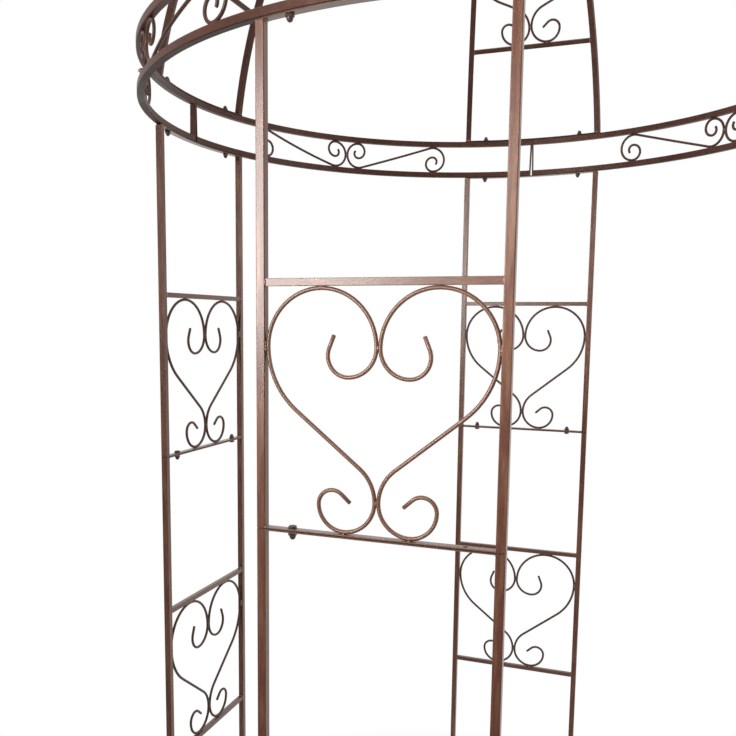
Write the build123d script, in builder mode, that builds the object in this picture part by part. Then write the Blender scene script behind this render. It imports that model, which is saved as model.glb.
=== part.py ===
from build123d import *
from math import asin, atan2, cos, degrees, hypot, radians, sin, sqrt
import os

os.makedirs("parts", exist_ok=True)

# Stock the pavilion is made from, in millimetres
tube = 15.0  # square tube of posts, ring and dome ribs
tube_wall = 1.2
tube_corner = 1.5  # outer radius of the posts' edges
bend_edge = 1.0  # flat on the edges of the bent tubes
bar = 12.0  # square crossbars
bar_edge = 0.8  # rounding of the crossbars' edges
wire = 6.0  # round wire of hearts and scrolls
strap = 3.0  # flat bar that carries the bolts
strap_edge = 0.6  # rounding of the straight straps' edges
bolt_hole = 8.5  # clearance hole for the bolts
weld_gap = 0.2  # room for the weld between a wire and its neighbour
weld_length = 8.0  # bead that joins two wires side by side
weld_depth = 3.6  # thickness of that bead

# Wall panels: an upper and a lower section bolted together at mid-height
post_spacing = 385.0  # centre to centre
bar_pitch = 391.0  # height of one bay
lower_bays = 3  # the lowest bay has no bar at its foot
upper_bays = 2
strap_inset = 3.0  # how far a strap stops short of the posts' outer faces
bolt_spacing = 280.0  # between the two bolts of a strap
wall_foot_radius = 50.0  # scrolls at the foot of a wall heart

# Ring beam: four quarter segments that meet at the middle of each panel
ring_radius = 742.5  # to the middle of the tube
ring_rise = 92.0  # from the middle of the lower tube to that of the upper
end_plate = 3.0  # flat bar that closes a segment
end_gap = 1.0  # between the end plates of two segments, at the top
end_spread = 6.0  # the same gap at the bottom, where the segments stand apart
scroll_reach = 240.0  # between the two eyes of an S-scroll, along the ring

# Dome panels: two ribs in planes through the pavilion's axis, bent wide at first and level at the crown
crown_radius = 105.5  # to the middle of the crown ring's tube
dome_radius = 1200.0  # wide bend of a rib, from its foot to the higher crossbar
dome_lean = 9.0  # degrees from upright at the foot of a rib
dome_bar_height = 243.0  # lower crossbar above the foot of the ribs
dome_heart_pitch = 292.0  # between the two crossbars of a dome panel
dome_foot_radius = 43.0  # scrolls at the foot of a dome heart

# Bends of a heart, as shares of its lobe's or its foot scroll's radius, and its straight ends
shoulder_share = 1.43  # outer side below the lobe
curl_share = 0.51  # inner curl, first quarter
curl_end_share = 0.365  # inner curl, up to its straight tip
foot_rise_share = 1.32  # bend into the foot scroll
foot_side_share = 0.84  # outer side of the foot scroll
foot_tail_share = 0.46  # tail of the foot scroll
curl_turn = 112.0  # degrees
tail_turn = 132.0  # degrees
curl_tip = 21.0  # straight end of the inner curl
tail_tip = 19.0  # straight end of the foot scroll

# Proportions of a ring scroll, as shares of its outer radius
eye_share = 0.60
eye_end_share = 0.35
eye_turn = 135.0  # degrees

sides = {"front": -90.0, "right": 0.0, "back": 90.0, "left": 180.0}
corners = {"front_right": -90.0, "back_right": 0.0, "back_left": 90.0, "front_left": 180.0}

# Middle of a wire that lies against a bar, or against its own mirror image
wire_seat = weld_gap + wire / 2
wire_twin = (weld_gap + wire) / 2

# Heights above the ground
joint_height = lower_bays * bar_pitch
wall_height = joint_height + upper_bays * bar_pitch
ring_low = wall_height + tube / 2
ring_high = ring_low + ring_rise
ring_middle = (ring_low + ring_high) / 2
dome_foot = ring_high + tube / 2 + strap

# Plan of a panel: its posts stand on the ring's middle line
half_spacing = post_spacing / 2
panel_reach = sqrt(ring_radius**2 - half_spacing**2)
post_angle = degrees(asin(half_spacing / ring_radius))
half_clear = half_spacing - tube / 2
strap_length = post_spacing + tube - 2 * strap_inset
bolt_x = bolt_spacing / 2
bolt_reach = sqrt(ring_radius**2 - bolt_x**2)

# Wide bend of a dome rib in its own plane, from the axis and from the ground
bend_reach = ring_radius - dome_radius * cos(radians(dome_lean))
bend_height = dome_foot - dome_radius * sin(radians(dome_lean))
bend_centre = (bend_reach, bend_height)
foot_turn = dome_lean - degrees(tube / dome_radius)
dome_low_turn = degrees(asin((dome_foot + dome_bar_height - bend_height) / dome_radius))
dome_high_turn = dome_low_turn + degrees(2 * asin(dome_heart_pitch / 2 / dome_radius))
wide_turn = dome_high_turn - foot_turn

# Tighter bend that carries on from the higher crossbar and ends level at the crown's strap
crown_seat = crown_radius + tube / 2 + strap
cap_radius = dome_radius - (crown_seat - bend_reach) / cos(radians(dome_high_turn))
cap_height = bend_height + (dome_radius - cap_radius) * sin(radians(dome_high_turn))
cap_centre = (crown_seat, cap_height)
cap_turn = 90 - dome_high_turn
crown_height = cap_height + cap_radius
crown_strap = 2 * crown_seat * sin(radians(post_angle)) + tube

# Ring scroll: outer radius and the angles of its two eyes from the segment's middle
scroll_radius = (ring_rise - tube) / 2 - wire_seat
near_angle = degrees((scroll_radius + wire_twin) / ring_radius)
far_angle = near_angle + degrees(scroll_reach / ring_radius)


def outward(angle):
    return Vector(cos(radians(angle)), sin(radians(angle)), 0)


def along(angle):
    return Vector(-sin(radians(angle)), cos(radians(angle)), 0)


# Level plane with its x axis along a panel, which lies on the side of minus y
def level(angle, height):
    return Plane(origin=(0, 0, height), x_dir=along(angle), z_dir=(0, 0, 1))


# Upright plane that faces outwards, with its y axis up
def upright(angle, reach, height):
    centre = outward(angle) * reach + Vector(0, 0, height)
    return Plane(origin=centre, x_dir=along(angle), z_dir=outward(angle))


# Upright plane through the axis, with x outwards and y up
def radial(angle):
    return Plane(origin=(0, 0, 0), x_dir=outward(angle), z_dir=-along(angle))


# Middle of a dome panel at a turn of the bend
def dome_point(angle, turn):
    reach = bend_reach + dome_radius * cos(radians(turn))
    height = bend_height + dome_radius * sin(radians(turn))
    return outward(angle) * (reach * cos(radians(post_angle))) + Vector(0, 0, height)


# Clear half-width between the ribs of a dome panel at a turn of the bend
def dome_clear(turn):
    reach = bend_reach + dome_radius * cos(radians(turn))
    return reach * sin(radians(post_angle)) - tube / 2 / cos(radians(post_angle))


# Plane of a dome panel's heart, from the lower crossbar up to the higher one
def dome_plane(angle, rise):
    low = dome_point(angle, dome_low_turn)
    climb = (dome_point(angle, dome_high_turn) - low).normalized()
    return Plane(origin=low + climb * rise, x_dir=along(angle), z_dir=along(angle).cross(climb))


# Curved strap that lies on the ring, with its two bolt holes
def ring_strap(plane):
    with BuildSketch(plane) as face:
        Circle(ring_radius + tube / 2)
        Circle(ring_radius - tube / 2, mode=Mode.SUBTRACT)
        with Locations((0, -ring_radius)):
            Rectangle(strap_length, 2 * ring_radius, mode=Mode.INTERSECT)
        with Locations((-bolt_x, -bolt_reach), (bolt_x, -bolt_reach)):
            Circle(bolt_hole / 2, mode=Mode.SUBTRACT)
    return face.sketch


# Two bolt holes of the mid-height joint in plan
def joint_holes(plane):
    with BuildSketch(plane) as face:
        with Locations((-bolt_x, -panel_reach), (bolt_x, -panel_reach)):
            Circle(bolt_hole / 2)
    return face.sketch


# Two posts of a wall panel in plan, open inside
def post_pair(plane):
    with BuildSketch(plane) as face:
        with Locations((-half_spacing, -panel_reach), (half_spacing, -panel_reach)):
            RectangleRounded(tube, tube, tube_corner)
            Rectangle(tube - 2 * tube_wall, tube - 2 * tube_wall, mode=Mode.SUBTRACT)
    return face.sketch


# Quarter of the ring in plan
def ring_quarter(angle, height):
    with BuildSketch(Plane(origin=(0, 0, height), x_dir=outward(angle), z_dir=(0, 0, 1))) as face:
        Circle(ring_radius + tube / 2)
        Circle(ring_radius - tube / 2, mode=Mode.SUBTRACT)
        Rectangle(2 * ring_radius, 2 * ring_radius, align=(Align.MIN, Align.MIN), mode=Mode.INTERSECT)
    return face.sketch


# Side view of the flat bar that closes a segment, which leans so that the gap beside it widens downwards
def ring_end(plane):
    top = ring_high + tube / 2
    bottom = ring_low - tube / 2
    gap = end_gap / 2
    spread = end_spread / 2
    points = (spread, bottom), (spread + end_plate, bottom), (gap + end_plate, top), (gap, top)
    with BuildSketch(plane) as face:
        with BuildLine():
            Polyline(*points, close=True)
        make_face()
    return face.sketch


# Section of the wire at the start of a path that lies in a plane
def wire_section(start, tangent, normal):
    with BuildSketch(Plane(origin=start, x_dir=normal, z_dir=tangent)) as face:
        RegularPolygon(wire / 2, 6, major_radius=False)
    return face.sketch


# Radius of a heart's lobe, which fits between the middle, the top bar and a side that leans in by the taper
def heart_lobe(foot_clear, taper, height):
    return (foot_clear - taper * (height - wire_seat) - wire_seat - wire_twin) / (2 - taper)


# Half a heart, from the tip of its inner curl to the tail of its foot scroll
def heart_path(plane, lobe, lobe_y, foot_radius):
    curl = curl_share * lobe
    curl_end = curl_end_share * lobe
    shoulder = shoulder_share * lobe
    shoulder_x = wire_twin + 2 * lobe - shoulder
    foot_x = wire_twin + foot_radius
    foot_y = wire_seat + foot_radius
    foot_rise = foot_rise_share * foot_radius
    foot_side = foot_side_share * foot_radius
    foot_tail = foot_tail_share * foot_radius
    rise_x = wire_twin + foot_rise
    span = hypot(rise_x - shoulder_x, foot_y - lobe_y)
    to_foot = atan2(foot_y - lobe_y, rise_x - shoulder_x)
    slope = degrees(to_foot - asin((shoulder + foot_rise) / span))
    with BuildLine(plane) as path:
        inner = CenterArc((wire_twin + curl, lobe_y - curl + curl_end), curl_end, curl_turn - 90, -curl_turn)
        PolarLine(inner @ 0, curl_tip, angle=curl_turn)
        CenterArc((wire_twin + curl, lobe_y), curl, -90, -90)
        CenterArc((wire_twin + lobe, lobe_y), lobe, 180, -180)
        outer = CenterArc((shoulder_x, lobe_y), shoulder, 0, slope + 90)
        rise = CenterArc((rise_x, foot_y), foot_rise, slope - 90, -90 - slope)
        Line(outer @ 1, rise @ 0)
        CenterArc((foot_x, foot_y), foot_radius, 180, 90)
        CenterArc((foot_x, wire_seat + foot_side), foot_side, -90, 90)
        tail = CenterArc((foot_x + foot_side - foot_tail, wire_seat + foot_side), foot_tail, 0, tail_turn)
        PolarLine(tail @ 1, tail_tip, angle=tail_turn + 90)
    return path.wire()


# S-scroll of a ring segment: an eye at each end, joined by one long bend that follows the ring
def scroll_path(angle):
    eye = eye_share * scroll_radius
    eye_end = eye_end_share * scroll_radius
    eye_y = scroll_radius - eye
    eye_end_y = scroll_radius - 2 * eye + eye_end
    half_turn = radians((far_angle - near_angle) / 2)
    slope = degrees(asin(scroll_radius * cos(half_turn) / (ring_radius * sin(half_turn))))
    with BuildLine(upright(angle + near_angle, ring_radius, ring_middle)) as near:
        CenterArc((0, eye_end_y), eye_end, -90 - eye_turn, eye_turn)
        CenterArc((0, eye_y), eye, -90, 180)
        leave = CenterArc((0, 0), scroll_radius, 90, 180 + slope)
    with BuildLine(upright(angle + far_angle, ring_radius, ring_middle)) as far:
        arrive = CenterArc((0, 0), scroll_radius, 90 + slope, -180 - slope)
        CenterArc((0, -eye_y), eye, -90, -180)
        CenterArc((0, -eye_end_y), eye_end, 90, -eye_turn)
    with BuildLine() as path:
        add(near.line)
        TangentArc(leave @ 1, arrive @ 0, tangent=leave % 1)
        add(far.line)
    return path.wire()


# Dome panel between its crossbars: their distance, and how the clear half-width narrows
dome_pitch = (dome_point(0, dome_high_turn) - dome_point(0, dome_low_turn)).length
dome_taper = (dome_clear(dome_low_turn) - dome_clear(dome_high_turn)) / dome_pitch
dome_seat_clear = dome_clear(dome_low_turn) - dome_taper * bar / 2


def save(piece, name):
    piece.part.label = name
    export_step(piece.part, f"parts/{name}.step")


for side, angle in sides.items():
    middle = Plane(origin=(0, 0, 0), x_dir=outward(angle), z_dir=along(angle))

    # Posts of the two wall sections
    with BuildPart() as upper_posts:
        add(post_pair(level(angle, joint_height + strap)))
        extrude(amount=wall_height - joint_height - 2 * strap)
    save(upper_posts, f"{side}_upper_posts")

    with BuildPart() as lower_posts:
        add(post_pair(level(angle, 0)))
        extrude(amount=joint_height - strap)
    save(lower_posts, f"{side}_lower_posts")

    # Crossbars and straps of the two wall sections
    with BuildPart() as upper_rails:
        with BuildSketch(radial(angle)):
            with Locations((panel_reach, wall_height - bar_pitch)):
                RectangleRounded(bar, bar, bar_edge)
        extrude(amount=half_clear, both=True)
        with BuildSketch(radial(angle)):
            with Locations((panel_reach, joint_height + strap / 2)):
                RectangleRounded(tube, strap, strap_edge)
        extrude(amount=strap_length / 2, both=True)
        add(joint_holes(level(angle, joint_height)))
        extrude(amount=strap, mode=Mode.SUBTRACT)
        add(ring_strap(level(angle, wall_height - strap)))
        extrude(amount=strap)
    save(upper_rails, f"{side}_upper_rails")

    with BuildPart() as lower_rails:
        with BuildSketch(radial(angle)):
            with Locations((panel_reach, bar_pitch), (panel_reach, 2 * bar_pitch)):
                RectangleRounded(bar, bar, bar_edge)
        extrude(amount=half_clear, both=True)
        with BuildSketch(radial(angle)):
            with Locations((panel_reach, joint_height - strap / 2)):
                RectangleRounded(tube, strap, strap_edge)
        extrude(amount=strap_length / 2, both=True)
        add(joint_holes(level(angle, joint_height - strap)))
        extrude(amount=strap, mode=Mode.SUBTRACT)
    save(lower_rails, f"{side}_lower_rails")

    # Hearts: one bent wire, its mirror image and the two beads that join them
    upper_seat = upright(angle, panel_reach, joint_height + strap)
    lower_seat = upright(angle, panel_reach, bar_pitch + bar / 2)
    dome_seat = dome_plane(angle, bar / 2)
    hearts = {
        "upper_heart": (upper_seat, half_clear, 0, bar_pitch - strap - bar / 2, wall_foot_radius),
        "lower_heart": (lower_seat, half_clear, 0, bar_pitch - bar, wall_foot_radius),
        "dome_heart": (dome_seat, dome_seat_clear, dome_taper, dome_pitch - bar, dome_foot_radius),
    }
    for name, (plane, foot_clear, taper, height, foot_radius) in hearts.items():
        lobe = heart_lobe(foot_clear, taper, height)
        lobe_y = height - wire_seat - lobe
        path = heart_path(plane, lobe, lobe_y, foot_radius)
        with BuildPart() as heart:
            sweep(wire_section(path @ 0, path % 0, plane.z_dir), path=path)
            mirror(about=middle)
            with BuildSketch(plane):
                with Locations((0, lobe_y), (0, wire_seat + foot_radius)):
                    Rectangle(wire, weld_length)
            extrude(amount=weld_depth / 2, both=True)
        save(heart, f"{side}_{name}")

    # Ribs of the dome panel, cut level at the foot
    with BuildPart() as dome_ribs:
        for rib_angle in (angle - post_angle, angle + post_angle):
            with BuildSketch(radial(rib_angle)):
                with BuildLine():
                    outer = CenterArc(bend_centre, dome_radius + tube / 2, foot_turn, wide_turn)
                    inner = CenterArc(bend_centre, dome_radius - tube / 2, foot_turn, wide_turn)
                    cap_outer = CenterArc(cap_centre, cap_radius + tube / 2, dome_high_turn, cap_turn)
                    cap_inner = CenterArc(cap_centre, cap_radius - tube / 2, dome_high_turn, cap_turn)
                    Line(outer @ 0, inner @ 0)
                    Line(cap_outer @ 1, cap_inner @ 1)
                make_face()
                with Locations((ring_radius, dome_foot)):
                    Rectangle(ring_radius, ring_rise, align=(Align.CENTER, Align.MAX), mode=Mode.SUBTRACT)
            extrude(amount=tube / 2, both=True)
        chamfer(dome_ribs.edges().filter_by(GeomType.CIRCLE), bend_edge)
    save(dome_ribs, f"{side}_dome_ribs")

    # Crossbars of the dome panel, mitred to the ribs, and the straps at its foot and crown
    with BuildPart() as dome_rails:
        with BuildSketch(Plane(origin=dome_seat.origin, x_dir=dome_seat.y_dir, z_dir=along(angle))):
            with Locations((-bar / 2, 0), (dome_pitch - bar / 2, 0)):
                RectangleRounded(bar, bar, bar_edge)
        extrude(amount=half_spacing, both=True)
        for inwards in (-along(angle + post_angle), along(angle - post_angle)):
            split(bisect_by=Plane(origin=inwards * (tube / 2), z_dir=inwards), keep=Keep.TOP)
        add(ring_strap(level(angle, ring_high + tube / 2)))
        extrude(amount=strap)
        with BuildSketch(level(angle, crown_height - tube / 2)):
            Circle(crown_seat)
            Circle(crown_seat - strap, mode=Mode.SUBTRACT)
            with Locations((0, -crown_seat)):
                Rectangle(crown_strap, 2 * crown_seat, mode=Mode.INTERSECT)
        extrude(amount=tube)
    save(dome_rails, f"{side}_dome_rails")

for corner, angle in corners.items():
    # Ring segment: two bent tubes, closed by a leaning flat bar at each end
    with BuildPart() as ring_frame:
        add(ring_quarter(angle, ring_low - tube / 2))
        add(ring_quarter(angle, ring_high - tube / 2))
        extrude(amount=tube)
        chamfer(ring_frame.edges().filter_by(GeomType.CIRCLE), bend_edge)
        for end_angle, inwards in ((angle, along(angle)), (angle + 90, -along(angle + 90))):
            lean = inwards * (ring_rise + tube) + Vector(0, 0, (end_spread - end_gap) / 2)
            tube_end = inwards * (end_gap / 2 + end_plate) + Vector(0, 0, ring_high + tube / 2)
            split(bisect_by=Plane(origin=tube_end, z_dir=lean), keep=Keep.TOP)
            across = inwards.cross(Vector(0, 0, 1))
            end_side = outward(end_angle) * ring_radius - across * (tube / 2)
            end_bar = ring_end(Plane(origin=end_side, x_dir=inwards, z_dir=across))
            extrude(end_bar, amount=tube, dir=across)
    save(ring_frame, f"{corner}_ring_frame")

    # Pair of S-scrolls about the segment's middle, joined by a bead
    segment_angle = angle + 45
    path = scroll_path(segment_angle)
    with BuildPart() as ring_scrolls:
        sweep(wire_section(path @ 0, path % 0, outward(segment_angle + near_angle)), path=path)
        mirror(about=Plane(origin=(0, 0, 0), x_dir=outward(segment_angle), z_dir=along(segment_angle)))
        with BuildSketch(upright(segment_angle, ring_radius, ring_middle)):
            Rectangle(wire, weld_length)
        extrude(amount=weld_depth / 2, both=True)
    save(ring_scrolls, f"{corner}_ring_scrolls")

# Small ring that the dome panels are bolted to at the top
with BuildPart() as crown_ring:
    with BuildSketch(Plane.XY.offset(crown_height - tube / 2)):
        Circle(crown_radius + tube / 2)
        Circle(crown_radius - tube / 2, mode=Mode.SUBTRACT)
    extrude(amount=tube)
    chamfer(crown_ring.edges(), bend_edge)
save(crown_ring, "crown_ring")
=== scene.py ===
from math import asin, atan2, ceil, cos, degrees, hypot, pi, radians, sin, sqrt

import bmesh
import bpy
from mathutils import Matrix, Vector


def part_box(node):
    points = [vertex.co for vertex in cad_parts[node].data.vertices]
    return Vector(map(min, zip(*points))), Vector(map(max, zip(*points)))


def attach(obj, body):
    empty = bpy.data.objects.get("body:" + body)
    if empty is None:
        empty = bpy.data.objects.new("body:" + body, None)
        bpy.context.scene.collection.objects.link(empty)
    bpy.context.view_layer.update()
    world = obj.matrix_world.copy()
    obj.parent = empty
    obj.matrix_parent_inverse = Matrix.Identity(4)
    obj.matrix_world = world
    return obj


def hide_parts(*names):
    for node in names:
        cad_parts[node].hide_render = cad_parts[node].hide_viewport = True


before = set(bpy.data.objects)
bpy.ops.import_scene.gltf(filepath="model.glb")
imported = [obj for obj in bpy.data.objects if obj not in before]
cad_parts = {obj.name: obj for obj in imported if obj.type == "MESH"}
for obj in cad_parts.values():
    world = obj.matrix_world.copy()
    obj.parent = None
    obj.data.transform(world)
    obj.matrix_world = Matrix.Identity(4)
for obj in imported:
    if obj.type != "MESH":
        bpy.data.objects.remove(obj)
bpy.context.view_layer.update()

scene = bpy.context.scene
scene.view_settings.view_transform = "Standard"

sideTurns = {"front": -90, "right": 0, "back": 90, "left": 180}
cornerTurns = {"front_right": -45, "back_right": 45, "back_left": 135, "front_left": 225}
hands = (1, -1)  # the two halves of a panel
up = Vector((0, 0, 1))

# Stock and spacing that a box can't tell, in metres and degrees
stock = {
    "bar": 0.012,
    "wire": 0.006,
    "strap": 0.003,
    "weldGap": 0.0002,
    "boltSpacing": 0.280,
    "lowerBays": 3,
    "domeRadius": 1.200,
    "domeLean": 9.0,
    "domeBarHeight": 0.243,
    "domeHeartPitch": 0.292,
}

# The rest of the pavilion's sizes, read from its boxes
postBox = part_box("front_upper_posts")
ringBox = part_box("front_right_ring_frame")
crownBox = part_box("crown_ring")
tube = postBox[1].y - postBox[0].y
bar = stock["bar"]
wire = stock["wire"]
strap = stock["strap"]
halfSpacing = postBox[1].x - tube / 2
halfClear = halfSpacing - tube / 2
panelReach = -(postBox[0].y + postBox[1].y) / 2
ringRadius = hypot(panelReach, halfSpacing)
postTurn = degrees(asin(halfSpacing / ringRadius))
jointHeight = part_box("front_lower_rails")[1].z
barPitch = jointHeight / stock["lowerBays"]
wallHeight = ringBox[0].z
ringTop = ringBox[1].z
ringLow = wallHeight + tube / 2
ringHigh = ringTop - tube / 2
ringMiddle = (ringLow + ringHigh) / 2
domeFoot = ringTop + strap
boltX = stock["boltSpacing"] / 2
boltReach = sqrt(ringRadius**2 - boltX**2)

# Wide bend of a dome rib, from its foot to the higher crossbar
crownSeat = crownBox[1].x + strap
crownHeight = (crownBox[0].z + crownBox[1].z) / 2
domeRadius = stock["domeRadius"]
bendReach = ringRadius - domeRadius * cos(radians(stock["domeLean"]))
bendHeight = domeFoot - domeRadius * sin(radians(stock["domeLean"]))
domeLowTurn = degrees(asin((domeFoot + stock["domeBarHeight"] - bendHeight) / domeRadius))
domeHighTurn = domeLowTurn + degrees(2 * asin(stock["domeHeartPitch"] / 2 / domeRadius))

wireSeat = stock["weldGap"] + wire / 2  # from a bar to the middle of a wire that lies on it
wireTwin = (stock["weldGap"] + wire) / 2  # from the middle of a panel to a wire beside its twin
print("frame read: ring radius", round(ringRadius, 4), "dome radius", round(domeRadius, 4))


def outward(turn):
    return Vector((cos(radians(turn)), sin(radians(turn)), 0))


def along(turn):
    return Vector((-sin(radians(turn)), cos(radians(turn)), 0))


def spot(turn, reach, sideways, height):  # a place on the side that faces this turn
    return outward(turn) * reach + along(turn) * sideways + up * height


def axesMatrix(origin, xAxis, yAxis):
    matrix = Matrix((xAxis, yAxis, xAxis.cross(yAxis))).transposed().to_4x4()
    matrix.translation = origin
    return matrix


def upright(turn, reach, height):  # x along the panel, y up, z outwards
    return axesMatrix(spot(turn, reach, 0, height), along(turn), up)


def domeReach(bend):
    return bendReach + domeRadius * cos(radians(bend))


def domePoint(turn, bend):  # middle of a dome panel
    height = bendHeight + domeRadius * sin(radians(bend))
    return spot(turn, domeReach(bend) * cos(radians(postTurn)), 0, height)


def domeClear(bend):  # half the room between the ribs
    return domeReach(bend) * sin(radians(postTurn)) - tube / 2 / cos(radians(postTurn))


def domePanel(turn, rise):
    low = domePoint(turn, domeLowTurn)
    climb = (domePoint(turn, domeHighTurn) - low).normalized()
    return axesMatrix(low + climb * rise, along(turn), climb)


domePitch = (domePoint(0, domeHighTurn) - domePoint(0, domeLowTurn)).length
domeTaper = (domeClear(domeLowTurn) - domeClear(domeHighTurn)) / domePitch


# Node trees

def makeTree(name, kind, inputs, outputs):
    tree = bpy.data.node_groups.new(name, kind)
    for label, socketKind, value in inputs:
        socket = tree.interface.new_socket(label, in_out="INPUT", socket_type="NodeSocket" + socketKind)
        if value is not None:
            socket.default_value = value
    for label, socketKind in outputs:
        tree.interface.new_socket(label, in_out="OUTPUT", socket_type="NodeSocket" + socketKind)
    return tree, tree.nodes.new("NodeGroupInput").outputs, tree.nodes.new("NodeGroupOutput").inputs


def feed(tree, socket, value):  # a link from another node, or a plain value
    if isinstance(value, bpy.types.NodeSocket):
        tree.links.new(value, socket)
    else:
        socket.default_value = value


def addNode(tree, kind, inputs=None, **settings):
    node = tree.nodes.new(kind)
    for label, value in settings.items():
        setattr(node, label, value)
    for label, value in (inputs or {}).items():
        feed(tree, node.inputs[label], value)
    return node


def addMath(tree, operation, first, second):
    return addNode(tree, "ShaderNodeMath", {0: first, 1: second}, operation=operation).outputs[0]


def addScaled(tree, vector, factor):
    return addNode(tree, "ShaderNodeVectorMath", {0: vector, "Scale": factor}, operation="SCALE").outputs[0]


def addRamp(tree, source, stops):  # a grey ramp with two stops
    node = addNode(tree, "ShaderNodeValToRGB", {"Fac": source})
    for element, (position, shade) in zip(node.color_ramp.elements, stops):
        element.position = position
        element.color = (shade, shade, shade, 1)
    return node.outputs["Color"]


def addRange(tree, source, fromMin, fromMax, toMin=0.0, toMax=1.0, kind="LINEAR"):
    inputs = {"Value": source, "From Min": fromMin, "From Max": fromMax, "To Min": toMin, "To Max": toMax}
    return addNode(tree, "ShaderNodeMapRange", inputs, interpolation_type=kind).outputs[0]


def addNoise(tree, place, scale, detail, roughness=0.5, distortion=0.0):
    grain = {"Scale": scale, "Detail": detail, "Roughness": roughness, "Distortion": distortion}
    return addNode(tree, "ShaderNodeTexNoise", {"Vector": place, **grain}).outputs


def mixColors(tree, factor, first, second, blend="MIX"):
    inputs = {0: factor, 6: first, 7: second}
    return addNode(tree, "ShaderNodeMix", inputs, data_type="RGBA", blend_type=blend).outputs[2]


def objectPlace(tree):
    return addNode(tree, "ShaderNodeTexCoord").outputs["Object"]


def giveOut(tree, result, made):
    for label, socket in made.items():
        tree.links.new(socket, result[label])
    return tree


# Shared effects of the coat

mottleStyle = {
    "offset": (0.05, 0.45, 0.11),  # lays the copper streaks as they show
    "blotchDetail": 4.0, "streakDetail": 3.0, "roughness": 0.6, "distortion": 0.3, "streakRatio": 9.0,
    "brownStops": ((0.32, 0), (0.60, 1)), "copperStops": ((0.46, 0), (0.62, 1)),
    "blotchShare": 0.35, "streakShare": 0.65, "speckScale": 1100.0,
}


def makeMottle():
    style = mottleStyle
    tree, given, result = makeTree(
        "coatMottle", "ShaderNodeTree",
        [
            ("Dark", "Color", None), ("Brown", "Color", None), ("Copper", "Color", None),
            ("Blotch Scale", "Float", 9.0), ("Stretch", "Vector", (1, 1, 1)), ("Offset", "Vector", (0, 0, 0)),
            ("Copper Share", "Float", 0.4), ("Flake", "Float", 0.2),
        ],
        [("Color", "Color"), ("Blotch", "Float"), ("Streak", "Float"), ("Copper Part", "Float")],
    )
    place = objectPlace(tree)
    stretched = {"Vector": place, "Scale": given["Stretch"], "Location": given["Offset"]}
    drawn = addNode(tree, "ShaderNodeMapping", stretched).outputs[0]
    scale = given["Blotch Scale"]
    grain = (style["blotchDetail"], style["roughness"], style["distortion"])
    blotch = addNoise(tree, drawn, scale, *grain)["Fac"]
    fineScale = addMath(tree, "MULTIPLY", scale, style["streakRatio"])
    streak = addNoise(tree, drawn, fineScale, style["streakDetail"], style["roughness"])["Fac"]
    shade = mixColors(tree, addRamp(tree, blotch, style["brownStops"]), given["Dark"], given["Brown"])
    blotchPart = addMath(tree, "MULTIPLY", blotch, style["blotchShare"])
    streakPart = addMath(tree, "MULTIPLY", streak, style["streakShare"])
    copperMask = addRamp(tree, addMath(tree, "ADD", blotchPart, streakPart), style["copperStops"])
    copperPart = addMath(tree, "MULTIPLY", copperMask, given["Copper Share"])
    tinted = mixColors(tree, copperPart, shade, given["Copper"])
    speck = addNode(tree, "ShaderNodeTexVoronoi", {"Vector": place, "Scale": style["speckScale"]})
    speckShade = addNode(tree, "ShaderNodeSeparateColor", {"Color": speck.outputs["Color"]}).outputs[0]
    flake = addMath(tree, "MULTIPLY", addMath(tree, "SUBTRACT", speckShade, 0.5), given["Flake"])
    flaked = mixColors(tree, 1.0, tinted, addMath(tree, "ADD", flake, 1.0), "MULTIPLY")
    made = {"Color": flaked, "Blotch": blotch, "Streak": streak, "Copper Part": copperPart}
    return giveOut(tree, result, made)


def patchy(tree, mask, scale, style):  # breaks a mask up into patches
    patch = addNoise(tree, objectPlace(tree), scale, style["detail"], style["roughness"])["Fac"]
    return addMath(tree, "MULTIPLY", mask, addRamp(tree, patch, style["patchStops"]))


rubStyle = {
    "width": 0.0015, "patchScale": 55.0, "detail": 4.0, "roughness": 0.7, "samples": 4,
    "edgeStops": ((0.02, 0), (0.20, 1)), "patchStops": ((0.40, 0.15), (0.66, 1)),
}


def makeEdgeRub():
    tree, given, result = makeTree(
        "edgeRub", "ShaderNodeTree",
        [("Width", "Float", rubStyle["width"]), ("Patch Scale", "Float", rubStyle["patchScale"])],
        [("Mask", "Float")],
    )
    bevel = addNode(tree, "ShaderNodeBevel", {"Radius": given["Width"]}, samples=rubStyle["samples"])
    sharp = addNode(tree, "ShaderNodeNewGeometry").outputs["True Normal"]
    facing = addNode(tree, "ShaderNodeVectorMath", {0: bevel.outputs[0], 1: sharp}, operation="DOT_PRODUCT")
    edge = addRamp(tree, addMath(tree, "SUBTRACT", 1.0, facing.outputs["Value"]), rubStyle["edgeStops"])
    return giveOut(tree, result, {"Mask": patchy(tree, edge, given["Patch Scale"], rubStyle)})


cornerShadeStyle = {
    "reach": 0.012, "patchScale": 90.0, "detail": 3.0, "roughness": 0.5, "samples": 6,
    "hiddenStops": ((0.25, 0), (0.85, 1)), "patchStops": ((0.3, 0.5), (0.7, 1)),
}


# painted shade: a mask of where the surface is hidden, in corners and between parts, broken into patches
def makeCornerShade():
    tree, given, result = makeTree(
        "cornerShade", "ShaderNodeTree",
        [("Reach", "Float", cornerShadeStyle["reach"]), ("Patch Scale", "Float", cornerShadeStyle["patchScale"])],
        [("Mask", "Float")],
    )
    reach = {"Distance": given["Reach"]}
    openness = addNode(tree, "ShaderNodeAmbientOcclusion", reach, samples=cornerShadeStyle["samples"]).outputs["AO"]
    hidden = addRamp(tree, addMath(tree, "SUBTRACT", 1.0, openness), cornerShadeStyle["hiddenStops"])
    return giveOut(tree, result, {"Mask": patchy(tree, hidden, given["Patch Scale"], cornerShadeStyle)})


peelStyle = {"grainScale": 420.0, "detail": 2.0, "streak": 0.5, "streakShare": 0.6, "depth": 0.0006}


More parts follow.
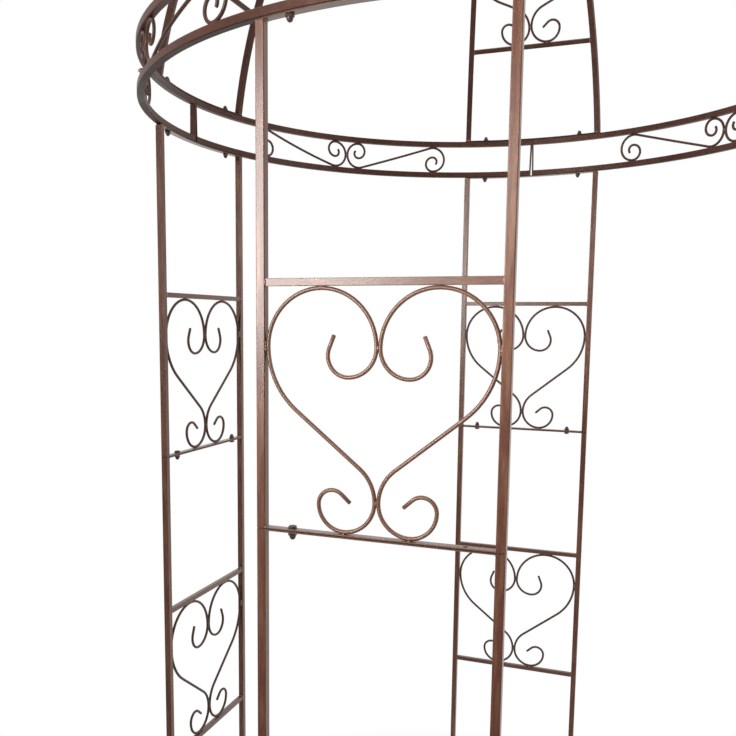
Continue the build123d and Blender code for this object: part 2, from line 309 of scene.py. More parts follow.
def makeOrangePeel():
    tree, given, result = makeTree(
        "orangePeel", "ShaderNodeTree",
        [("Grain Scale", "Float", peelStyle["grainScale"]), ("Streak", "Float", peelStyle["streak"])],
        [("Height", "Float")],
    )
    peel = addNoise(tree, objectPlace(tree), given["Grain Scale"], peelStyle["detail"])["Fac"]
    streaks = addMath(tree, "MULTIPLY", given["Streak"], peelStyle["streakShare"])
    return giveOut(tree, result, {"Height": addMath(tree, "ADD", peel, streaks)})


seamShadeStyle = {"halfWidth": 0.0016, "stops": ((0.55, 1), (1.0, 0)), "strapMargin": 1.02, "share": 0.9}


def makeSeamShade():  # painted shade on the line where two straps or a strap and a tube lie on each other, and a mask of the straps there
    tree, given, result = makeTree(
        "seamShade", "ShaderNodeTree",
        [
            ("Height", "Float", 1.0),
            ("Half Width", "Float", seamShadeStyle["halfWidth"]),
            ("Strap", "Float", strap),
        ],
        [("Mask", "Float"), ("Strap Mask", "Float")],
    )
    level = addNode(tree, "ShaderNodeSeparateXYZ", {"Vector": objectPlace(tree)}).outputs["Z"]
    away = addMath(tree, "ABSOLUTE", addMath(tree, "SUBTRACT", level, given["Height"]), 0.0)
    seamShadeMask = addRamp(tree, addMath(tree, "DIVIDE", away, given["Half Width"]), seamShadeStyle["stops"])
    strapShare = addMath(tree, "DIVIDE", away, given["Strap"])
    strapMask = addMath(tree, "LESS_THAN", strapShare, seamShadeStyle["strapMargin"])
    return giveOut(tree, result, {"Mask": seamShadeMask, "Strap Mask": strapMask})


mottleGroup = makeMottle()
edgeRubGroup = makeEdgeRub()
cornerShadeGroup = makeCornerShade()
orangePeelGroup = makeOrangePeel()
seamShadeGroup = makeSeamShade()

litStrapColor = (0.235, 0.120, 0.090, 1)  # painted light: straps of the joint, paler than the bars as they catch the light
gleamColor = (1.0, 0.72, 0.48, 1)  # metal pigment in the coat
rubColor = (0.30, 0.17, 0.12, 1)  # paler coat along rubbed edges
paintedShadeColor = (0.026, 0.012, 0.009, 1)  # painted shade in the corners, in the seams and under the ring's strap

# One set of values for each finish of the coat, where it isn't the plain one
plainFinish = {
    "stretch": (1.0, 1.0, 1.0), "flake": 0.0, "metallic": 0.4, "peel": 0.0, "rub": 0.0, "hiddenShade": 0.4,
    "straps": (),  # height of a seam with its painted shade, painted light or shade on the straps there and its share
}
tubeFinish = {**plainFinish, "flake": 0.08, "peel": 0.006, "hiddenShade": 0.7}
coatFinishes = {
    "postCoat": {
        **tubeFinish, "blotchScale": 14.0, "stretch": (1.0, 1.0, 0.10), "copperShare": 0.48,
        "dark": (0.095, 0.022, 0.011), "brown": (0.130, 0.035, 0.020), "copper": (0.30, 0.155, 0.082),
        "metallic": 0.5, "gleam": 0.42, "roughness": (0.38, 0.46), "coat": 0.62, "coatRoughness": 0.25,
        "rub": 0.20,
    },
    "barCoat": {
        **tubeFinish, "blotchScale": 16.0, "stretch": (0.30, 0.30, 1.0), "copperShare": 0.35,
        "dark": (0.110, 0.038, 0.026), "brown": (0.145, 0.053, 0.037), "copper": (0.25, 0.125, 0.075),
        "gleam": 0.42, "roughness": (0.38, 0.46), "coat": 0.64, "coatRoughness": 0.25,
        # painted light on the joint's straps, painted shade on the strap under the ring
        "rub": 0.20, "straps": ((jointHeight, litStrapColor, 0.65), (wallHeight, paintedShadeColor, 0.30)),
    },
    "bendCoat": {
        **tubeFinish, "blotchScale": 12.0, "stretch": (0.6, 0.6, 1.0), "copperShare": 0.35,
        "dark": (0.076, 0.030, 0.023), "brown": (0.102, 0.041, 0.032), "copper": (0.160, 0.078, 0.051),
        "gleam": 0.22, "roughness": (0.42, 0.52), "coat": 0.08, "coatRoughness": 0.28,
        "rub": 0.10, "straps": ((wallHeight, paintedShadeColor, 0.0), (ringTop, paintedShadeColor, 0.0)),
    },
    # lit and shaded copies of one wire coat: the lighter one for the front hearts
    "litWireCoat": {
        **plainFinish, "blotchScale": 6.0, "copperShare": 0.25,
        "dark": (0.132, 0.048, 0.032), "brown": (0.168, 0.066, 0.045), "copper": (0.27, 0.125, 0.076),
        "gleam": 1.00, "roughness": (0.40, 0.46), "coat": 0.52, "coatRoughness": 0.34,
    },
    # the darker one, as painted shade, for the other hearts and the ring scrolls
    "shadedWireCoat": {
        **plainFinish, "blotchScale": 6.0, "copperShare": 0.25,
        "dark": (0.070, 0.031, 0.024), "brown": (0.092, 0.042, 0.032), "copper": (0.14, 0.07, 0.046),
        "gleam": 0.40, "roughness": (0.42, 0.48), "coat": 0.15, "coatRoughness": 0.34,
    },
    "weldCoat": {
        **plainFinish, "blotchScale": 60.0, "copperShare": 0.8,
        "dark": (0.130, 0.048, 0.032), "brown": (0.220, 0.095, 0.064), "copper": (0.52, 0.340, 0.240),
        "metallic": 0.5, "gleam": 0.80, "roughness": (0.34, 0.50), "coat": 0.7, "coatRoughness": 0.24,
        "peel": 0.10, "hiddenShade": 0.2,
    },
    "boltCoat": {
        **plainFinish, "blotchScale": 60.0, "copperShare": 0.3,
        "dark": (0.052, 0.034, 0.029), "brown": (0.074, 0.047, 0.040), "copper": (0.11, 0.072, 0.058),
        "gleam": 0.50, "roughness": (0.40, 0.54), "coat": 0.3, "coatRoughness": 0.26,
        "rub": 0.2,
    },
}
blotchRange = (0.3, 0.7)  # of the noise, over which the roughness goes from smooth to rough


def makeCoat(name, finish):
    material = bpy.data.materials.new(name)
    material.use_nodes = True
    tree = material.node_tree
    shader = tree.nodes["Principled BSDF"].inputs
    mottleInputs = {
        "Dark": (*finish["dark"], 1), "Brown": (*finish["brown"], 1), "Copper": (*finish["copper"], 1),
        "Blotch Scale": finish["blotchScale"], "Stretch": finish["stretch"], "Offset": mottleStyle["offset"],
        "Copper Share": finish["copperShare"], "Flake": finish["flake"],
    }
    mottle = addNode(tree, "ShaderNodeGroup", mottleInputs, node_tree=mottleGroup).outputs
    color = mottle["Color"]
    # paler rubbed edges (wear), then painted shade where the surface is hidden
    for label, group, tone in (("rub", edgeRubGroup, rubColor), ("hiddenShade", cornerShadeGroup, paintedShadeColor)):
        if finish[label]:
            mask = addNode(tree, "ShaderNodeGroup", node_tree=group).outputs["Mask"]
            color = mixColors(tree, addMath(tree, "MULTIPLY", mask, finish[label]), color, tone)
    shader["Coat Weight"].default_value = finish["coat"]
    if finish["straps"]:
        masks = []
        for height, tone, share in finish["straps"]:
            seam = addNode(tree, "ShaderNodeGroup", {"Height": height}, node_tree=seamShadeGroup).outputs
            masks.append(seam["Mask"])
            # painted light or shade on the straps beside the seam
            if share:
                color = mixColors(tree, addMath(tree, "MULTIPLY", seam["Strap Mask"], share), color, tone)
        # painted shade along the seam, with no gloss there
        seamShadeMask = addMath(tree, "MULTIPLY", addMath(tree, "MAXIMUM", *masks), seamShadeStyle["share"])
        color = mixColors(tree, seamShadeMask, color, paintedShadeColor)
        bare = addMath(tree, "SUBTRACT", 1.0, seamShadeMask)  # no gloss in the painted shade of the seam
        feed(tree, shader["Coat Weight"], addMath(tree, "MULTIPLY", bare, finish["coat"]))
    feed(tree, shader["Base Color"], color)
    feed(tree, shader["Roughness"], addRange(tree, mottle["Blotch"], *blotchRange, *finish["roughness"]))
    feed(tree, shader["Metallic"], addMath(tree, "MULTIPLY", mottle["Copper Part"], finish["metallic"]))
    shader["Specular IOR Level"].default_value = finish["gleam"]
    shader["Specular Tint"].default_value = gleamColor
    shader["Coat Roughness"].default_value = finish["coatRoughness"]
    if finish["peel"]:
        peel = addNode(tree, "ShaderNodeGroup", {"Streak": mottle["Streak"]}, node_tree=orangePeelGroup)
        rise = {"Height": peel.outputs["Height"], "Strength": finish["peel"], "Distance": peelStyle["depth"]}
        feed(tree, shader["Normal"], addNode(tree, "ShaderNodeBump", rise).outputs[0])
    return material


coats = {name: makeCoat(name, finish) for name, finish in coatFinishes.items()}
print("coats made:", ", ".join(coats))

# CAD pieces that keep their shape take their coat here, by the last kind that fits the name
coatByKind = {
    "posts": "postCoat", "rails": "barCoat", "ring_frame": "bendCoat", "dome_ribs": "bendCoat",
    "crown_ring": "bendCoat", "dome_rails": "bendCoat",
}
for nodeName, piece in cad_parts.items():
    for kind, coat in coatByKind.items():
        if nodeName.endswith(kind):
            for materialSlot in piece.material_slots:
                materialSlot.material = coats[coat]


# Helpers for pieces made by geometry nodes

def makeGrowTree(name, inputs):
    ends = [("Geometry", "Geometry", None), ("Material", "Material", None)]
    return makeTree(name, "GeometryNodeTree", ends + inputs, [("Geometry", "Geometry")])


def endGrowTree(tree, given, result, geometry, smooth):
    if smooth:
        geometry = addNode(tree, "GeometryNodeSetShadeSmooth", {"Geometry": geometry}).outputs[0]
    painting = {"Geometry": geometry, "Material": given["Material"]}
    painted = addNode(tree, "GeometryNodeSetMaterial", painting).outputs[0]
    return giveOut(tree, result, {"Geometry": painted})


def namedValue(tree, label, kind):
    node = addNode(tree, "GeometryNodeInputNamedAttribute", {"Name": label}, data_type=kind)
    return node.outputs["Attribute"]


def alignedTo(tree, axis):  # turns an instance's axis to its point's direction
    direction = {"Vector": namedValue(tree, "direction", "FLOAT_VECTOR")}
    return addNode(tree, "FunctionNodeAlignRotationToVector", direction, axis=axis).outputs[0]


def addRandom(tree, low, high, seed):
    node = addNode(tree, "FunctionNodeRandomValue", data_type="FLOAT")
    values = {"Min_001": low, "Max_001": high, "Seed": seed}
    for socket in node.inputs:
        if socket.identifier in values:
            feed(tree, socket, values[socket.identifier])
    return node.outputs[1]


def meshFrom(name, points, edges=(), attributes=None):
    mesh = bpy.data.meshes.new(name)
    mesh.from_pydata(points, edges, [])
    for label, (kind, values) in (attributes or {}).items():
        layer = mesh.attributes.new(label, kind, "POINT")
        for item, value in zip(layer.data, values):
            if kind == "FLOAT":
                item.value = value
            else:
                item.vector = value
    return mesh


def grow(name, mesh, tree, values):  # runs a tree on a mesh and keeps the plain result
    source = bpy.data.objects.new(name + "Source", mesh)
    scene.collection.objects.link(source)
    modifier = source.modifiers.new("grow", "NODES")
    modifier.node_group = tree
    for item in tree.interface.items_tree:
        if item.in_out == "INPUT" and item.name in values:
            modifier[item.identifier] = values[item.name]
    evaluated = source.evaluated_get(bpy.context.evaluated_depsgraph_get())
    grown = bpy.data.meshes.new_from_object(evaluated)
    grown.name = name
    source.modifiers.remove(modifier)
    bpy.data.objects.remove(source)
    piece = bpy.data.objects.new(name, grown)
    scene.collection.objects.link(piece)
    return piece


# Bent wire: a round bar swept along a chain of bends

wireStyle = {
    "diameter": 0.0066, "sides": 14, "bendStep": 6.0, "tipShare": 0.72, "tipLength": 0.0009,
    "sway": 0.00035, "swayScale": 9.0, "swayDetail": 1.0,
}
sameSpot = wire / 100  # points as near as this are one


def makeWireTree():
    style = wireStyle
    tree, given, result = makeGrowTree("bentWire", [
        ("Wire Diameter", "Float", style["diameter"]),
        ("Sides", "Int", style["sides"]),
        ("Sway", "Float", style["sway"]),
    ])
    place = addNode(tree, "GeometryNodeInputPosition").outputs[0]
    drift = addNoise(tree, place, style["swayScale"], style["swayDetail"])["Color"]
    centred = addNode(tree, "ShaderNodeVectorMath", {0: drift, 1: (0.5, 0.5, 0.5)}, operation="SUBTRACT")
    swayed = {"Geometry": given["Geometry"], "Offset": addScaled(tree, centred.outputs[0], given["Sway"])}
    bent = addNode(tree, "GeometryNodeSetPosition", swayed)
    curve = addNode(tree, "GeometryNodeMeshToCurve", {"Mesh": bent.outputs[0]})
    section = {"Resolution": given["Sides"], "Radius": addMath(tree, "MULTIPLY", given["Wire Diameter"], 0.5)}
    swept = addNode(tree, "GeometryNodeCurveToMesh", {
        "Curve": curve.outputs[0],
        "Profile Curve": addNode(tree, "GeometryNodeCurvePrimitiveCircle", section).outputs["Curve"],
        "Scale": namedValue(tree, "tip", "FLOAT"),
        "Fill Caps": True,
    })
    whole = addNode(tree, "GeometryNodeRealizeInstances", {"Geometry": swept.outputs[0]}).outputs[0]
    return endGrowTree(tree, given, result, whole, True)


def arcPoints(centre, radius, start, turn):
    count = max(2, ceil(abs(turn) / wireStyle["bendStep"]))
    steps = [radians(start + turn * index / count) for index in range(count + 1)]
    return [Vector((centre[0] + radius * cos(step), centre[1] + radius * sin(step), 0)) for step in steps]


def joined(runs):  # one chain of points, with each seam once
    chain = list(runs[0])
    for run in runs[1:]:
        chain.extend(run[1:] if (run[0] - chain[-1]).length < sameSpot else run)
    return chain


def withTips(chain):  # a short chamfer at each cut end
    first = chain[0] + (chain[1] - chain[0]).normalized() * wireStyle["tipLength"]
    last = chain[-1] + (chain[-2] - chain[-1]).normalized() * wireStyle["tipLength"]
    return [chain[0], first] + chain[1:-1] + [last, chain[-1]]


def wireMesh(name, chains):
    points = []
    edges = []
    tips = []
    for chain in chains:
        start = len(points)
        points.extend(chain)
        edges.extend((index, index + 1) for index in range(start, len(points) - 1))
        share = wireStyle["tipShare"]
        tips.extend([share] + [1.0] * (len(chain) - 2) + [share])
    return meshFrom(name, points, edges, {"tip": ("FLOAT", tips)})


wireTree = makeWireTree()

heartShares = {  # of the lobe's radius or of the foot scroll's, as the wire is bent
    "shoulder": 1.43, "curl": 0.51, "curlEnd": 0.365, "footRise": 1.32, "footSide": 0.84, "footTail": 0.46,
}
heartSizes = {  # turns of the two ends in degrees, lengths in metres
    "curlTurn": 112.0, "tailTurn": 132.0, "curlTip": 0.021, "tailTip": 0.019,
    "wallFoot": 0.050, "domeFoot": 0.043,
}


def heartChain(lobe, lobeY, foot):
    shares = heartShares
    curl = shares["curl"] * lobe
    curlEnd = shares["curlEnd"] * lobe
    shoulder = shares["shoulder"] * lobe
    shoulderX = wireTwin + 2 * lobe - shoulder
    footX = wireTwin + foot
    footY = wireSeat + foot
    rise = shares["footRise"] * foot
    riseX = wireTwin + rise
    side = shares["footSide"] * foot
    tail = shares["footTail"] * foot
    span = hypot(riseX - shoulderX, footY - lobeY)
    slope = degrees(atan2(footY - lobeY, riseX - shoulderX) - asin((shoulder + rise) / span))
    turn = heartSizes["curlTurn"]
    tailTurn = heartSizes["tailTurn"]
    curlArc = arcPoints((wireTwin + curl, lobeY - curl + curlEnd), curlEnd, turn - 90, -turn)
    tailArc = arcPoints((footX + side - tail, wireSeat + side), tail, 0, tailTurn)
    return joined([
        [curlArc[0] + outward(turn) * heartSizes["curlTip"]],
        curlArc,
        arcPoints((wireTwin + curl, lobeY), curl, -90, -90),
        arcPoints((wireTwin + lobe, lobeY), lobe, 180, -180),
        arcPoints((shoulderX, lobeY), shoulder, 0, slope + 90),
        arcPoints((riseX, footY), rise, slope - 90, -90 - slope),
        arcPoints((footX, footY), foot, 180, 90),
        arcPoints((footX, wireSeat + side), side, -90, 90),
        tailArc,
        [tailArc[-1] + along(tailTurn) * heartSizes["tailTip"]],
    ])


beads = []  # place, direction, half sizes along, across and proud


def addBead(place, direction, size):
    beads.append((place, direction, Vector(size) / 2))


wireBead = {  # sizes along, across and proud
    "size": (0.0080, 0.0044, 0.0044), "proud": 0.0020,
    "postSize": (0.0066, 0.0064, 0.0044), "postStep": 0.0050, "postProud": 0.0036,
}


def makeHeart(nodeName, panel, footClear, taper, height, foot, coat):
    lobe = (footClear - taper * (height - wireSeat) - wireSeat - wireTwin) / (2 - taper)
    lobeY = height - wireSeat - lobe
    half = withTips(heartChain(lobe, lobeY, foot))
    chains = [[panel @ Vector((hand * point.x, point.y, 0)) for point in half] for hand in hands]
    name = nodeName + "_wire"
    piece = grow(name, wireMesh(name, chains), wireTree, {"Material": coats[coat]})
    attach(piece, "root")
    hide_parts(nodeName)
    turnMatrix = panel.to_3x3()
    acrossPanel = turnMatrix @ Vector((1, 0, 0))
    upPanel = turnMatrix @ Vector((0, 1, 0))
    outerX = wireTwin + 2 * lobe + wire / 2
    seams = [(0, lobeY, upPanel), (0, wireSeat + foot, upPanel)]
    for hand in hands:
        seams.append((hand * (wireTwin + lobe), height, acrossPanel))
        seams.append((hand * (wireTwin + foot), 0, acrossPanel))
    for face in (1, -1):  # drops on either side of the wire
        for x, y, direction in seams:
            addBead(panel @ Vector((x, y, face * wireBead["proud"])), direction, wireBead["size"])
        for hand in hands:  # a row of them where a lobe meets its post
            for step in (-1, 0, 1):
                rise = step * wireBead["postStep"]
                drop = Vector((hand * (outerX - taper * rise), lobeY + rise, face * wireBead["postProud"]))
                addBead(panel @ drop, upPanel, wireBead["postSize"])


for side, turn in sideTurns.items():
    upperSeat = upright(turn, panelReach, jointHeight + strap)
    lowerSeat = upright(turn, panelReach, barPitch + bar / 2)
    seatClear = domeClear(domeLowTurn) - domeTaper * bar / 2
    domeSeat = domePanel(turn, bar / 2)
    coat = "litWireCoat" if side == "front" else "shadedWireCoat"  # the rest take a darker copy of the coat: painted shade
    foot = heartSizes["wallFoot"]
    makeHeart(side + "_upper_heart", upperSeat, halfClear, 0, barPitch - strap - bar / 2, foot, coat)
    makeHeart(side + "_lower_heart", lowerSeat, halfClear, 0, barPitch - bar, foot, coat)
    foot = heartSizes["domeFoot"]
    makeHeart(side + "_dome_heart", domeSeat, seatClear, domeTaper, domePitch - bar, foot, "shadedWireCoat")
print("hearts bent")

ringScroll = {"reach": 0.240, "eyeShare": 0.60, "eyeEndShare": 0.35, "eyeTurn": 135.0, "bridgeStep": 0.006}


def bridgePoints(start, tangent, end):  # one bend from start to end that leaves along the tangent
    chord = end - start
    sideways = (chord - tangent * chord.dot(tangent)).normalized()
    radius = chord.length_squared / (2 * chord.dot(sideways))
    turn = 2 * asin(chord.length / (2 * radius))
    count = ceil(radius * turn / ringScroll["bridgeStep"])
    centre = start + sideways * radius
    steps = [turn * index / count for index in range(count + 1)]
    return [centre - sideways * (radius * cos(step)) + tangent * (radius * sin(step)) for step in steps]


def makeScrolls(nodeName, turn):
    radius = (ringHigh - ringLow - tube) / 2 - wireSeat
    nearTurn = degrees((radius + wireTwin) / ringRadius)
    farTurn = nearTurn + degrees(ringScroll["reach"] / ringRadius)
    eye = ringScroll["eyeShare"] * radius
    eyeEnd = ringScroll["eyeEndShare"] * radius
    eyeY = radius - eye
    eyeEndY = radius - 2 * eye + eyeEnd
    eyeTurn = ringScroll["eyeTurn"]
    halfTurn = radians((farTurn - nearTurn) / 2)
    slope = degrees(asin(radius * cos(halfTurn) / (ringRadius * sin(halfTurn))))
    near = upright(turn + nearTurn, ringRadius, ringMiddle)
    far = upright(turn + farTurn, ringRadius, ringMiddle)
    leaving = joined([
        arcPoints((0, eyeEndY), eyeEnd, -90 - eyeTurn, eyeTurn),
        arcPoints((0, eyeY), eye, -90, 180),
        arcPoints((0, 0), radius, 90, 180 + slope),
    ])
    arriving = joined([
        arcPoints((0, 0), radius, 90 + slope, -180 - slope),
        arcPoints((0, -eyeY), eye, -90, -180),
        arcPoints((0, -eyeEndY), eyeEnd, 90, -eyeTurn),
    ])
    leaving = [near @ point for point in leaving]
    arriving = [far @ point for point in arriving]
    tangent = near.to_3x3() @ outward(slope)
    chain = withTips(joined([leaving, bridgePoints(leaving[-1], tangent, arriving[0]), arriving]))
    mirrorLine = along(turn)
    twin = [point - mirrorLine * (2 * point.dot(mirrorLine)) for point in chain]
    name = nodeName + "_wire"
    piece = grow(name, wireMesh(name, [chain, twin]), wireTree, {"Material": coats["shadedWireCoat"]})
    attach(piece, "root")
    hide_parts(nodeName)
    addBead(spot(turn, ringRadius, 0, ringMiddle), up, wireBead["size"])
    for hand in hands:
        for scrollTurn in (nearTurn, farTurn):
            seamTurn = turn + hand * scrollTurn
            for height in (ringLow + tube / 2, ringHigh - tube / 2):
                addBead(spot(seamTurn, ringRadius, 0, height), along(seamTurn), wireBead["size"])


for corner, turn in cornerTurns.items():
    makeScrolls(corner + "_ring_scrolls", turn)
print("ring scrolls bent")


# Weld beads where bars, straps and plates meet

frameBead = {"width": 0.0036, "depth": 0.0036, "inset": 0.0012}


def addFrameBead(place, direction, seamLength):
    addBead(place, direction, (seamLength - frameBead["inset"], frameBead["width"], frameBead["depth"]))


def beadRound(matrix, half, sides="xXyY"):  # beads round a square bar's end, in its own plane
    turnMatrix = matrix.to_3x3()
    axes = (Vector((1, 0, 0)), Vector((0, 1, 0)))
    for mark in sides:
        hand = 1 if mark.isupper() else -1
        away, direction = axes if mark in "xX" else reversed(axes)
        addFrameBead(matrix @ (away * (hand * half)), turnMatrix @ direction, 2 * half)


def addFrameBeads(turn):
    out = outward(turn)
    for hand in hands:
        for height in (wallHeight - barPitch, barPitch, 2 * barPitch):
            barEnd = spot(turn, panelReach, hand * halfClear, height)
            beadRound(axesMatrix(barEnd, out, up), bar / 2)
        inwards = "X" if hand < 0 else "x"
        for height in (jointHeight + strap, jointHeight - strap, wallHeight - strap):
            postEnd = spot(turn, panelReach, hand * halfSpacing, height)
            beadRound(axesMatrix(postEnd, along(turn), out), tube / 2, inwards)
        ribTurn = turn + hand * postTurn
        ribFoot = spot(ribTurn, ringRadius, 0, domeFoot)
        beadRound(axesMatrix(ribFoot, along(ribTurn), outward(ribTurn)), tube / 2)
        ribTop = spot(ribTurn, crownSeat, 0, crownHeight)
        beadRound(axesMatrix(ribTop, along(ribTurn), up), tube / 2, "xX")
        for rise in (0, domePitch):
            panel = domePanel(turn, rise)
            climb = panel.to_3x3() @ Vector((0, 1, 0))
            clear = domeClear(domeLowTurn) - domeTaper * rise
            seat = panel.translation + along(turn) * (hand * clear)
            sideways = (along(ribTurn) * -hand).normalized()
            beadRound(axesMatrix(seat, climb.cross(sideways).normalized(), climb), bar / 2)


endPlate = {  # two plates lean apart: gap at the top, spread at the bottom, and where the tubes meet them
    "thickness": 0.003, "gap": 0.001, "spread": 0.006, "lowShare": 0.14, "highShare": 0.86,
}


def addEndPlateBeads(turn):
    seams = ((ringLow + tube / 2, endPlate["lowShare"]), (ringHigh - tube / 2, endPlate["highShare"]))
    for hand in hands:
        for height, share in seams:
            gap = endPlate["spread"] + (endPlate["gap"] - endPlate["spread"]) * share
            setback = gap / 2 + endPlate["thickness"]
            addFrameBead(spot(turn, ringRadius, hand * setback, height), outward(turn), tube)


for turn in sideTurns.values():
    addFrameBeads(turn)
    addEndPlateBeads(turn)

beadStyle = {
    "segments": 8, "rings": 6, "sizeSpread": 0.22, "seed": 7,
    "lumpHeight": 0.0005, "lumpScale": 420.0, "lumpDetail": 1.0,
}


def makeBeadTree():
    style = beadStyle
    tree, given, result = makeGrowTree("weldBeads", [
        ("Size Spread", "Float", style["sizeSpread"]),
        ("Lump Height", "Float", style["lumpHeight"]),
        ("Lump Scale", "Float", style["lumpScale"]),
        ("Seed", "Int", style["seed"]),
    ])
    ball = {"Segments": style["segments"], "Rings": style["rings"], "Radius": 1.0}
    low = addMath(tree, "SUBTRACT", 1.0, given["Size Spread"])
    high = addMath(tree, "ADD", 1.0, given["Size Spread"])
    spread = addRandom(tree, low, high, given["Seed"])
    placed = addNode(tree, "GeometryNodeInstanceOnPoints", {
        "Points": given["Geometry"],
        "Instance": addNode(tree, "GeometryNodeMeshUVSphere", ball).outputs["Mesh"],
        "Rotation": alignedTo(tree, "X"),
        "Scale": addScaled(tree, namedValue(tree, "size", "FLOAT_VECTOR"), spread),
    })
    whole = addNode(tree, "GeometryNodeRealizeInstances", {"Geometry": placed.outputs[0]}).outputs[0]
    place = addNode(tree, "GeometryNodeInputPosition").outputs[0]
    lump = addNoise(tree, place, given["Lump Scale"], style["lumpDetail"])["Fac"]
    rise = addMath(tree, "MULTIPLY", addMath(tree, "SUBTRACT", lump, 0.5), given["Lump Height"])
    normal = addNode(tree, "GeometryNodeInputNormal").outputs[0]
    lumps = {"Geometry": whole, "Offset": addScaled(tree, normal, rise)}
    lumpy = addNode(tree, "GeometryNodeSetPosition", lumps).outputs[0]
    return endGrowTree(tree, given, result, lumpy, True)


beadPlaces, beadDirections, beadSizes = zip(*beads)
beadValues = {"direction": ("FLOAT_VECTOR", beadDirections), "size": ("FLOAT_VECTOR", beadSizes)}
beadMesh = meshFrom("weld_beads", beadPlaces, (), beadValues)
weldBeads = grow("weld_beads", beadMesh, makeBeadTree(), {"Material": coats["weldCoat"]})
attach(weldBeads, "root")
print("weld beads laid:", len(beads))

# Bolts: hex head on one side of the straps, cap nut on the other

boltStyle = {
    "acrossFlats": 0.0124, "headHeight": 0.0050, "nutHeight": 0.0052, "sides": 18,
    "collarShare": 0.93, "chamferShare": 0.16, "dimpleShare": 0.6, "dimpleTaper": 0.85,
    "domeRadius": 0.0054, "domeHeight": 0.0068, "domeRings": 6, "domeLift": 84.6,
    "flangeRadius": 0.0074, "flangeHeight": 0.0009, "seed": 3,
}
crispAngle = 28.0  # edges that turn by more than this stay sharp


def latheRings(target, rings):  # closed skin through rings of points, from bottom to top
    loops = [[target.verts.new(point) for point in ring] for ring in rings]
    target.faces.new(list(reversed(loops[0])))
    for low, high in zip(loops, loops[1:]):
        count = len(low)
        for index in range(count):
            after = (index + 1) % count
            target.faces.new((low[index], low[after], high[after], high[index]))
    target.faces.new(loops[-1])


def ringPoints(radius, height, flat=False):  # round, or a hexagon of as many points
    sides = boltStyle["sides"]
    points = []
    for index in range(sides):
        angle = 2 * pi * index / sides
        reach = radius
        if flat:
            sector = (angle + pi / 6) % (pi / 3) - pi / 6
            reach = radius * cos(pi / 6) / cos(sector + pi / 6 if sector < 0 else sector - pi / 6)
        points.append(Vector((reach * cos(angle), reach * sin(angle), height)))
    return points


def makePattern(name, rings):
    work = bmesh.new()
    latheRings(work, rings)
    bmesh.ops.recalc_face_normals(work, faces=work.faces)
    mesh = bpy.data.meshes.new(name)
    work.to_mesh(mesh)
    work.free()
    mesh.shade_smooth()
    mesh.set_sharp_from_angle(angle=radians(crispAngle))
    return bpy.data.objects.new(name, mesh)


def hexRings(height, domed):
    style = boltStyle
    corner = style["acrossFlats"] / 2 / cos(pi / 6)
    collar = style["acrossFlats"] / 2 * style["collarShare"]
    chamfer = height * style["chamferShare"]
    if domed:
        rings = [ringPoints(collar, 0), ringPoints(corner, chamfer, True)]
    else:
        flange = style["flangeHeight"]
        rings = [ringPoints(style["flangeRadius"], level) for level in (0, flange / 2)]
        rings.append(ringPoints(corner, flange, True))
    rings.append(ringPoints(corner, height - chamfer, True))
    rings.append(ringPoints(collar, height))
    if domed:
        for index in range(style["domeRings"] + 1):
            lift = radians(style["domeLift"]) * index / style["domeRings"]
            radius = style["domeRadius"] * cos(lift)
            rings.append(ringPoints(radius, height + style["domeHeight"] * sin(lift)))
    else:
        dimple = collar * style["dimpleShare"]
        rings.append(ringPoints(dimple, height))
        rings.append(ringPoints(dimple * style["dimpleTaper"], height - chamfer / 2))
    return rings


def makeBoltTree():
    tree, given, result = makeGrowTree("strapBolts", [
        ("Pattern", "Object", None),
        ("Turn Spread", "Float", pi),
        ("Seed", "Int", boltStyle["seed"]),
    ])
    angle = addRandom(tree, 0.0, given["Turn Spread"], given["Seed"])
    spin = addNode(tree, "ShaderNodeCombineXYZ", {"Z": angle})
    turns = {0: alignedTo(tree, "Z"), 1: spin.outputs[0]}
    placed = addNode(tree, "GeometryNodeInstanceOnPoints", {
        "Points": given["Geometry"],
        "Instance": addNode(tree, "GeometryNodeObjectInfo", {"Object": given["Pattern"]}).outputs["Geometry"],
        "Rotation": addNode(tree, "FunctionNodeRotateRotation", turns, rotation_space="LOCAL").outputs[0],
    })
    whole = addNode(tree, "GeometryNodeRealizeInstances", {"Geometry": placed.outputs[0]}).outputs[0]
    return endGrowTree(tree, given, result, whole, False)


boltTree = makeBoltTree()


def growPattern(name, rings, spots, values):  # one copy of a pattern on each place, turned to its direction
    pattern = makePattern(name + "Pattern", rings)
    places, directions = zip(*spots)
    spotMesh = meshFrom(name, places, (), {"direction": ("FLOAT_VECTOR", directions)})
    piece = grow(name, spotMesh, boltTree, {"Pattern": pattern, **values})
    bpy.data.objects.remove(pattern)
    return piece


heads = []  # seat and direction of each hex head
nuts = []  # seat and direction of each cap nut
missingBolt = ("front", 1)  # this one was never put in: its hole stays empty
nutBelow = (("front", -1), ("left", 1))  # here the cap nut points down
for side, turn in sideTurns.items():
    for hand in hands:
        direction = -up if (side, hand) in nutBelow else up
        if (side, hand) != missingBolt:
            joint = spot(turn, panelReach, hand * boltX, jointHeight)
            nuts.append((joint + direction * strap, direction))
            heads.append((joint - direction * strap, -direction))
        nuts.append((spot(turn, boltReach, hand * boltX, wallHeight - strap), -up))
        nuts.append((spot(turn, boltReach, hand * boltX, domeFoot), up))
    nuts.append((spot(turn, crownSeat, 0, crownHeight), outward(turn)))

for name, spots, height, domed in (
    ("hex_heads", heads, boltStyle["headHeight"], False), ("cap_nuts", nuts, boltStyle["nutHeight"], True),
):
    piece = growPattern(name, hexRings(height, domed), spots, {"Material": coats["boltCoat"]})
    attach(piece, "root")
print("bolts set:", len(heads), "heads,", len(nuts), "cap nuts")

# Post ends of the two wall sections meet round the straps' ends, with a nick at the seam

